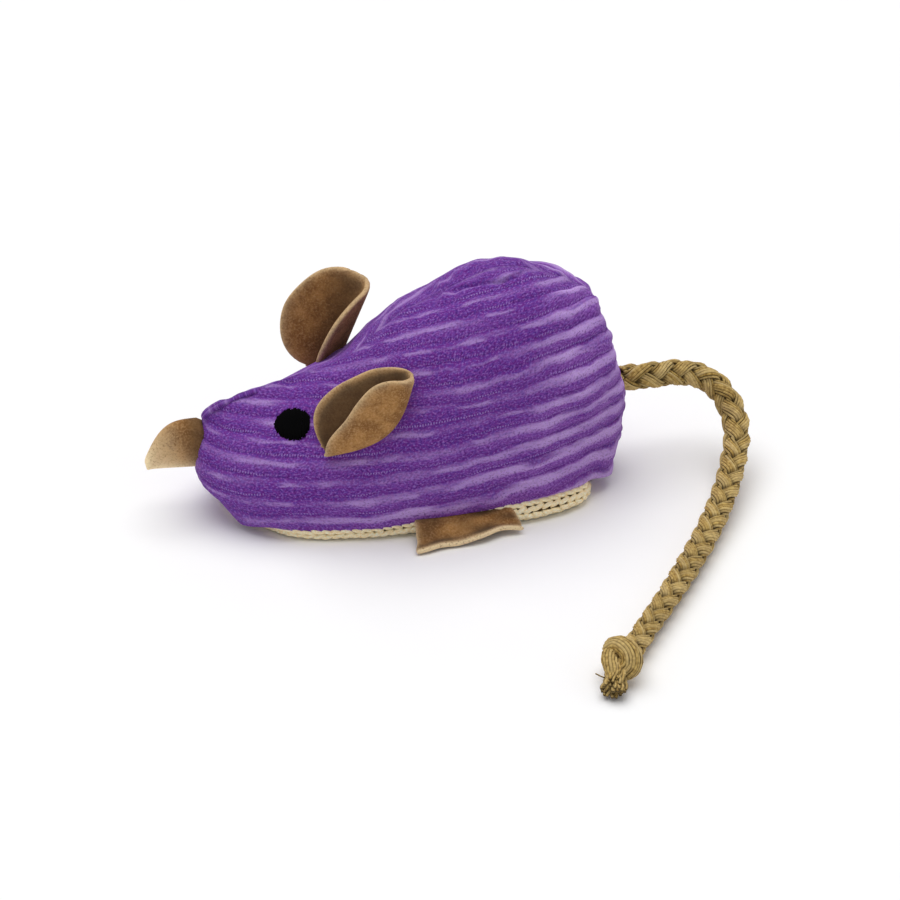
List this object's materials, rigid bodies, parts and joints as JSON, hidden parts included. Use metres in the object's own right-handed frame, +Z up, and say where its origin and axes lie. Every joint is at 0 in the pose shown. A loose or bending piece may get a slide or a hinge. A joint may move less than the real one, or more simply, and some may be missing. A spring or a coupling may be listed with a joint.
{
  "type": "catnip mouse",
  "caption": "Stuffed cloth mouse for a cat: ribbed body on a knitted base, folded suede ears, suede nose and feet, stitched eyes and a braided cord tail with a knotted end.",
  "frame": {"origin": "on the floor, under the middle of the body's length and width", "axes": "+X from the nose to the tail, -Y to the mouse's left side, +Z up"},
  "size_m": [0.1265, 0.1166, 0.0498],
  "materials": {
    "ribbed_cloth": "purple wide-wale chenille corduroy, soft lavender sheen on each wale",
    "knit": "straw-coloured chunky knit",
    "seam_thread": "dark purple sewing thread",
    "fibre_fill": "white polyester fibre",
    "catnip": "dried, crushed leaf",
    "suede": "napped brown suede with a paler raw edge",
    "eye_thread": "black satin stitch",
    "braided_cord": "golden tan plaited yarn"
  },
  "bodies": {
    "mouse_body": {"cover_left": "ribbed_cloth", "cover_right": "ribbed_cloth", "base_panel": "knit", "back_seam_thread": "seam_thread", "base_seam_thread": "seam_thread", "stuffing": "fibre_fill", "catnip_fill": "catnip", "eye_left": "eye_thread", "eye_right": "eye_thread", "tail_sewn_end": "braided_cord"},
    "ear_left": {"ear_left": "suede"},
    "ear_right": {"ear_right": "suede"},
    "nose": {"nose": "suede"},
    "foot_left": {"foot_left": "suede"},
    "foot_right": {"foot_right": "suede"},
    "tail": {"tail_cord": "braided_cord", "tail_knot": "braided_cord"}
  },
  "joints": [
    {"name": "ear_left_fold", "type": "hinge", "parent": "mouse_body", "child": "ear_left", "pos_m": [-0.02061, -0.01584, 0.01938], "axis": [0.5317, -0.5929, -0.6048], "range_deg": [0, 35], "stiffness_Nm_per_rad": 0.002},
    {"name": "ear_right_fold", "type": "hinge", "parent": "mouse_body", "child": "ear_right", "pos_m": [-0.01476, 0.01716, 0.02024], "axis": [-0.8488, -0.456, 0.2674], "range_deg": [0, 30], "stiffness_Nm_per_rad": 0.002},
    {"name": "nose_bend", "type": "hinge", "parent": "mouse_body", "child": "nose", "pos_m": [-0.0456, 0, 0.01625], "axis": [0, 0, 1], "range_deg": [-25, 25], "stiffness_Nm_per_rad": 0.001},
    {"name": "foot_left_lift", "type": "hinge", "parent": "mouse_body", "child": "foot_left", "pos_m": [0.00669, -0.02022, 0.00428], "axis": [-0.9995, -0.0303, 0], "range_deg": [0, 60]},
    {"name": "foot_right_lift", "type": "hinge", "parent": "mouse_body", "child": "foot_right", "pos_m": [0.00669, 0.02022, 0.00428], "axis": [0.9995, -0.0303, 0], "range_deg": [0, 60]},
    {"name": "tail_swing", "type": "hinge", "parent": "mouse_body", "child": "tail", "pos_m": [0.04848, 0, 0.0205], "axis": [0, 0, 1], "range_deg": [-40, 75]}
  ]
}
